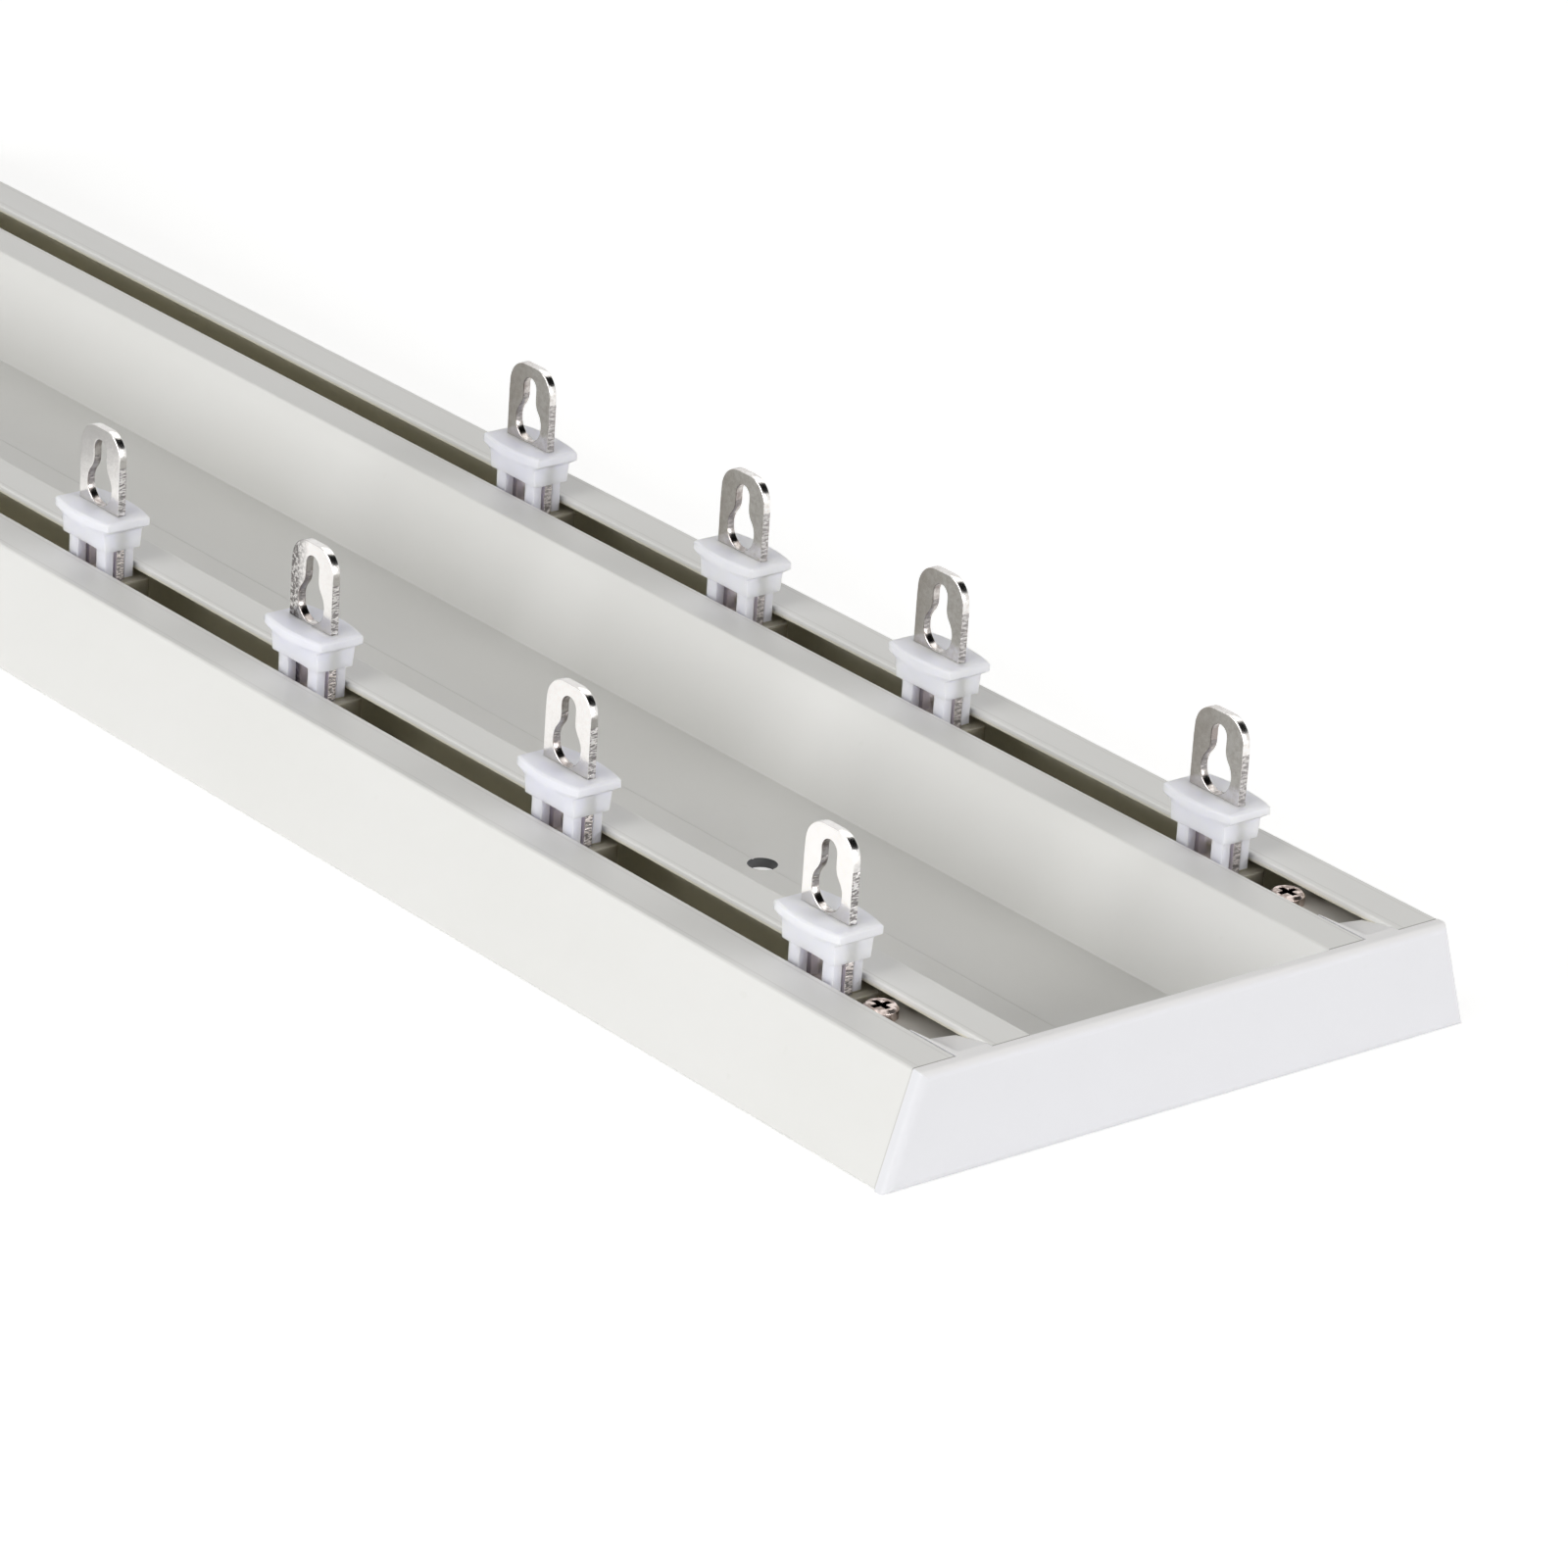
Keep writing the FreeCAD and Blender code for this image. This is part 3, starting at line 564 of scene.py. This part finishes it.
def makeSectionTree():
    # the extrusion, pushed from its outline and drilled twice, a pitch apart
    tree, given, out = newTree("pushedSection", [
        ("Length", "NodeSocketFloat", 0.4), ("Hole pitch", "NodeSocketFloat", 0.2),
        ("Hole radius", "NodeSocketFloat", 0.002), ("Drill depth", "NodeSocketFloat", 0.005),
        ("Drill sides", "NodeSocketInt", 32), ("Floor level", "NodeSocketFloat", 0.0014)])
    bar = solidFromLoops(tree, given.outputs["Geometry"], given.outputs["Length"])
    back = product(tree, given.outputs["Length"], -0.5)
    start = chain(tree, "ShaderNodeCombineXYZ", back, "X").outputs[0]
    laid = chain(tree, "GeometryNodeTransform", bar, "Geometry", Translation=start)
    # the outline stands upright, across the track
    laid.inputs["Rotation"].default_value = Matrix(((0, 0, 1), (1, 0, 0), (0, 1, 0))).to_euler()
    # the drills, set out in a row
    half = product(tree, given.outputs["Hole pitch"], -0.5)
    first = chain(tree, "ShaderNodeCombineXYZ", half, "X", Z=given.outputs["Floor level"]).outputs[0]
    step = chain(tree, "ShaderNodeCombineXYZ", given.outputs["Hole pitch"], "X").outputs[0]
    row = chain(tree, "GeometryNodeMeshLine", first, "Start Location", Count=2, Offset=step).outputs[0]
    drill = chain(tree, "GeometryNodeMeshCylinder", given.outputs["Hole radius"], "Radius",
                  Vertices=given.outputs["Drill sides"], Depth=given.outputs["Drill depth"])
    drills = chain(tree, "GeometryNodeInstanceOnPoints", row, "Points", Instance=drill.outputs[0])
    drills = chain(tree, "GeometryNodeRealizeInstances", drills.outputs[0], "Geometry").outputs[0]
    cut = chain(tree, "GeometryNodeMeshBoolean", laid.outputs[0], "Mesh 1")
    cut.operation = "DIFFERENCE"
    cut.solver = "EXACT"
    tree.links.new(drills, cut.inputs["Mesh 2"])
    return finishTree(tree, given, out, cut.outputs[0])


def makePlateTree():
    # the eyelet plate, punched from its outlines and stood upright
    tree, given, out = newTree("punchedPlate", [("Thickness", "NodeSocketFloat", 0.001)])
    blank = solidFromLoops(tree, given.outputs["Geometry"], given.outputs["Thickness"])
    half = product(tree, given.outputs["Thickness"], 0.5)
    shift = chain(tree, "ShaderNodeCombineXYZ", half, "Y").outputs[0]
    upright = chain(tree, "GeometryNodeTransform", blank, "Geometry", Translation=shift)
    upright.inputs["Rotation"].default_value = (math.pi / 2, 0, 0)
    return finishTree(tree, given, out, upright.outputs[0])


def makeGridTree():
    # copies of one piece on a grid of places
    tree, given, out = newTree("copiesOnGrid", [
        ("Piece", "NodeSocketObject", None),
        ("Along", "NodeSocketFloat", 0.0), ("Across", "NodeSocketFloat", 0.0),
        ("Span along", "NodeSocketFloat", 0.0), ("Span across", "NodeSocketFloat", 0.0),
        ("Count along", "NodeSocketInt", 1), ("Count across", "NodeSocketInt", 1)])
    wanted = given.outputs
    first = chain(tree, "ShaderNodeCombineXYZ", wanted["Along"], "X", Y=wanted["Across"]).outputs[0]
    step = chain(tree, "ShaderNodeCombineXYZ", wanted["Span along"], "X").outputs[0]
    row = chain(tree, "GeometryNodeMeshLine", first, "Start Location",
                Count=wanted["Count along"], Offset=step).outputs[0]
    sideways = chain(tree, "ShaderNodeCombineXYZ", wanted["Span across"], "Y").outputs[0]
    column = chain(tree, "GeometryNodeMeshLine", wanted["Count across"], "Count", Offset=sideways)
    places = chain(tree, "GeometryNodeInstanceOnPoints", row, "Points", Instance=column.outputs[0])
    places = chain(tree, "GeometryNodeRealizeInstances", places.outputs[0], "Geometry").outputs[0]
    piece = chain(tree, "GeometryNodeObjectInfo", wanted["Piece"], "Object").outputs["Geometry"]
    copies = chain(tree, "GeometryNodeInstanceOnPoints", places, "Points", Instance=piece).outputs[0]
    return finishTree(tree, given, out, copies)


sectionTree = makeSectionTree()
plateTree = makePlateTree()
gridTree = makeGridTree()
print("node trees ready")


# pieces that stand for CAD nodes

edgeRounding = {"segments": 3, "fromAngle": 35, "flatWithin": 1}  # the angles are in degrees


def linked(name, data):
    holder = bpy.data.objects.new(name, data)
    bpy.context.scene.collection.objects.link(holder)
    return holder


def settle(holder, smooth=True):
    # the evaluated result becomes the piece's own plain mesh
    bpy.context.view_layer.update()
    graph = bpy.context.evaluated_depsgraph_get()
    plain = bpy.data.meshes.new_from_object(holder.evaluated_get(graph))
    holder.modifiers.clear()
    holder.data = plain
    if smooth:
        plain.shade_smooth()


def applyTree(holder, tree, **values):
    modifier = holder.modifiers.new("rule", "NODES")
    modifier.node_group = tree
    for item in tree.interface.items_tree:
        label = item.name.replace(" ", "_")
        if item.in_out == "INPUT" and label in values:
            modifier[item.identifier] = values[label]
    settle(holder)


def soften(holder, width):
    # round the edges, and keep the flat faces' shading flat
    if width:
        bevel = holder.modifiers.new("edges", "BEVEL")
        bevel.width, bevel.segments = width, edgeRounding["segments"]
        bevel.limit_method, bevel.angle_limit = "ANGLE", math.radians(edgeRounding["fromAngle"])
        settle(holder)
    weighted = holder.modifiers.new("normals", "WEIGHTED_NORMAL")
    weighted.keep_sharp = True
    settle(holder, smooth=False)


def patternOf(node, name, along, across, width, reshape=None):
    # a merged copy of a CAD node, brought to the middle and softened, that the grids repeat
    mesh = bpy.data.meshes.new(name)
    work = bmesh.new()
    work.from_mesh(nodes[node].data)
    bmesh.ops.remove_doubles(work, verts=work.verts, dist=weldWithin)
    bmesh.ops.dissolve_limit(work, angle_limit=math.radians(edgeRounding["flatWithin"]),
                             verts=work.verts, edges=work.edges)
    bmesh.ops.translate(work, verts=work.verts, vec=(-along, -across, 0))
    if reshape:
        reshape(work)
    work.to_mesh(mesh)
    work.free()
    holder = linked(name, mesh)
    settle(holder)
    soften(holder, width)
    return holder


def middleOf(node):
    low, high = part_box(node)
    return (low + high) / 2


def finishPiece(holder, body, slotName, *names):
    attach(holder, body)
    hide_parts(*names)


track = linked("extrusion", loopMesh("extrusion", sectionLoop()))
applyTree(track, sectionTree, Length=section["length"], Hole_pitch=section["holePitch"],
          Hole_radius=section["holeRadius"], Drill_depth=section["drillDepth"],
          Drill_sides=section["drillSides"], Floor_level=section["web"], Material=coatMaterial)
track.data.set_sharp_from_angle(angle=math.radians(section["sharpAngle"]))
soften(track, 0)
finishPiece(track, "track", "powder_coat", "track_profile")
print("extrusion made", len(track.data.polygons))


runner = {"bevel": 0.0003, "blockHalf": 0.0054, "blockFoot": 0.0185, "footWithin": 0.00005,
          "neckHalf": 0.0026, "drawMiddle": 0.725, "drawEnds": 0.91}


def drawnIn(work):
    # the block under the flange closes on the neck downwards, in a hull
    for vert in work.verts:
        atFoot = abs(vert.co.z - runner["blockFoot"]) < runner["footWithin"]
        if atFoot and abs(vert.co.y) > runner["neckHalf"]:
            ends = (vert.co.x / runner["blockHalf"]) ** 2
            vert.co.y *= runner["drawMiddle"] + (runner["drawEnds"] - runner["drawMiddle"]) * ends


start = middleOf("runner_near_1")
runnerPattern = patternOf("runner_near_1", "runnerPattern", start.x, start.y, runner["bevel"], drawnIn)
platePattern = linked("platePattern", loopMesh("platePattern", *plateLoops()))
applyTree(platePattern, plateTree, Thickness=eyelet["thickness"], Material=plateMaterial)
soften(platePattern, eyelet["bevel"])
# each point keeps its distance from the plate's middle, for the finish
kept = platePattern.data.attributes.new("across", "FLOAT", "POINT")
kept.data.foreach_set("value", [vert.co.x for vert in platePattern.data.vertices])
start = middleOf("cap_screw_right_near")
screwPattern = patternOf("cap_screw_right_near", "screwPattern", start.x, start.y, screw["bevel"])
print("patterns made")

for side, across in (("near", -section["slotMiddle"]), ("far", section["slotMiddle"])):
    for number in (1, 2, 3, 4):
        body = "runner_%s_%d" % (side, number)
        along = middleOf(body).x
        for kind, pattern, material, slotName in (("runner", runnerPattern, nylonMaterial, "runner_nylon"),
                                                  ("eyelet", platePattern, plateMaterial, "eyelet_nickel")):
            node = "%s_%s_%d" % (kind, side, number)
            piece = linked("%s%s%d" % (kind, side.capitalize(), number), bpy.data.meshes.new(node))
            applyTree(piece, gridTree, Piece=pattern, Along=along, Across=across, Material=material)
            soften(piece, 0)
            finishPiece(piece, body, slotName, node)
print("runners made")

screws = linked("capScrews", bpy.data.meshes.new("capScrews"))
applyTree(screws, gridTree, Piece=screwPattern, Along=-screw["along"], Across=-section["slotMiddle"],
          Span_along=2 * screw["along"], Span_across=2 * section["slotMiddle"],
          Count_along=2, Count_across=2, Material=screwMaterial)
soften(screws, 0)
finishPiece(screws, "track", "screw_nickel", *[name for name in nodes if name.startswith("cap_screw")])
for pattern in (runnerPattern, platePattern, screwPattern):
    bpy.data.objects.remove(pattern)

for name in ("end_cap_right", "end_cap_left"):
    slots = nodes[name].data.materials
    slots.clear()
    slots.append(capMaterial)
print("screws made and caps dressed")


# floor, light and camera

floorPlan = {"half": 4.0, "drop": 0.0002, "colour": (0.86, 0.86, 0.85, 1), "roughness": 0.85,
             "specular": 0.1, "lift": 0.55, "sheenAlong": (-0.068, -0.054), "sheenMost": 0.68}


def makeFloor():
    half = floorPlan["half"]
    mesh = bpy.data.meshes.new("floor")
    corners = [(-half, -half, 0), (half, -half, 0), (half, half, 0), (-half, half, 0)]
    mesh.from_pydata(corners, [], [(0, 1, 2, 3)])
    floor = linked("floor", mesh)
    floor.location.z = -floorPlan["drop"]
    material, tree, shader = newMaterial(
        "paleFloor", Base_Color=floorPlan["colour"], Roughness=floorPlan["roughness"],
        Specular_IOR_Level=floorPlan["specular"], Emission_Color=(1, 1, 1, 1))
    path = tree.nodes.new("ShaderNodeLightPath")
    seen = calculate(tree, "MAXIMUM", path.outputs["Is Camera Ray"], path.outputs["Is Transmission Ray"])
    # painted reflection: for glossy rays the floor glows, more towards the right, so the plates reflect a
    # light that no lamp gives
    sheen = remap(tree, ownPart(tree, objectPoint(tree), "X"), *floorPlan["sheenAlong"],
                  0.0, floorPlan["sheenMost"])
    glow = calculate(tree, "ADD", product(tree, seen, floorPlan["lift"]),
                     product(tree, path.outputs["Is Glossy Ray"], sheen))
    tree.links.new(glow, shader.inputs["Emission Strength"])
    mesh.materials.append(material)


# the strength at which the world lights the object, and a black patch that only glossy rays see, a painted
# dark reflection
studio = {"strength": 0.2, "flagTowards": (0.39, 0.59, 0.72), "flagRange": (0.90, 0.925)}


def makeWorld():
    world = bpy.data.worlds.new("studio")
    bpy.context.scene.world = world
    world.use_nodes = True
    tree = world.node_tree
    background = tree.nodes["Background"]
    background.inputs["Color"].default_value = (1, 1, 1, 1)
    path = tree.nodes.new("ShaderNodeLightPath")
    glossy = path.outputs["Is Glossy Ray"]
    seen = calculate(tree, "MAXIMUM", path.outputs["Is Camera Ray"], glossy)
    seen = calculate(tree, "MAXIMUM", seen, path.outputs["Is Transmission Ray"])
    cosine = tree.nodes.new("ShaderNodeVectorMath")
    cosine.operation = "DOT_PRODUCT"
    tree.links.new(objectPoint(tree), cosine.inputs[0])
    cosine.inputs[1].default_value = Vector(studio["flagTowards"]).normalized()
    black = product(tree, remap(tree, cosine.outputs["Value"], *studio["flagRange"]), glossy)
    strength = product(tree, mixValue(tree, seen, studio["strength"], 1.0),
                       calculate(tree, "SUBTRACT", 1.0, black))
    tree.links.new(strength, background.inputs["Strength"])


# each softbox is (direction, size, power, colour)
softboxes = {"keySoftbox": ((0.2, -0.59, 0.78), (0.5, 0.5), 2.5, (1.0, 0.985, 0.95)),
             "frontSoftbox": ((-0.15, -0.945, 0.26), (1.2, 0.7), 16.5, (0.975, 0.98, 1.0)),
             "endSoftbox": ((0.93, 0.25, 0.27), (1.0, 0.5), 14.4, (0.985, 0.985, 1.0)),
             "backSoftbox": ((-0.3, 0.5, 0.8), (1.2, 0.8), 2.7, (1.0, 0.985, 0.95))}
softboxAim = (0.1, 0.0, 0.0)
softboxDistance = 1.6


def addSoftbox(name, direction, reach, power, colour):
    lamp = bpy.data.lights.new(name, "AREA")
    lamp.shape = "RECTANGLE"
    lamp.size, lamp.size_y = reach
    lamp.energy = power
    lamp.color = colour
    holder = linked(name, lamp)
    away = Vector(direction).normalized()
    holder.location = away * softboxDistance + Vector(softboxAim)
    holder.rotation_mode = "QUATERNION"
    holder.rotation_quaternion = away.to_track_quat("Z", "Y")


# the view as fitted to the photograph; the focal length is in pixels of a picture of that width
photoCamera = {"sensor": 36.0, "focal": 7751.31, "width": 1600, "clip": (0.05, 50.0),
               "location": (0.846656, -0.614520, 0.414901),
               "right": (0.62325407, 0.77955013, 0.06209636), "up": (-0.33875034, 0.19755619, 0.91990204)}


def makeCamera():
    lens = bpy.data.cameras.new("photoCamera")
    lens.sensor_width = photoCamera["sensor"]
    lens.lens = photoCamera["sensor"] * photoCamera["focal"] / photoCamera["width"]
    lens.clip_start, lens.clip_end = photoCamera["clip"]
    camera = linked("photoCamera", lens)
    camera.location = photoCamera["location"]
    right, up = Vector(photoCamera["right"]), Vector(photoCamera["up"])
    camera.rotation_mode = "QUATERNION"
    camera.rotation_quaternion = Matrix((right, up, right.cross(up))).transposed().to_quaternion()
    bpy.context.scene.camera = camera


makeFloor()
makeWorld()
for name, settings in softboxes.items():
    addSoftbox(name, *settings)
makeCamera()
bpy.context.scene.view_settings.view_transform = "Standard"
print("floor, light and camera ready")
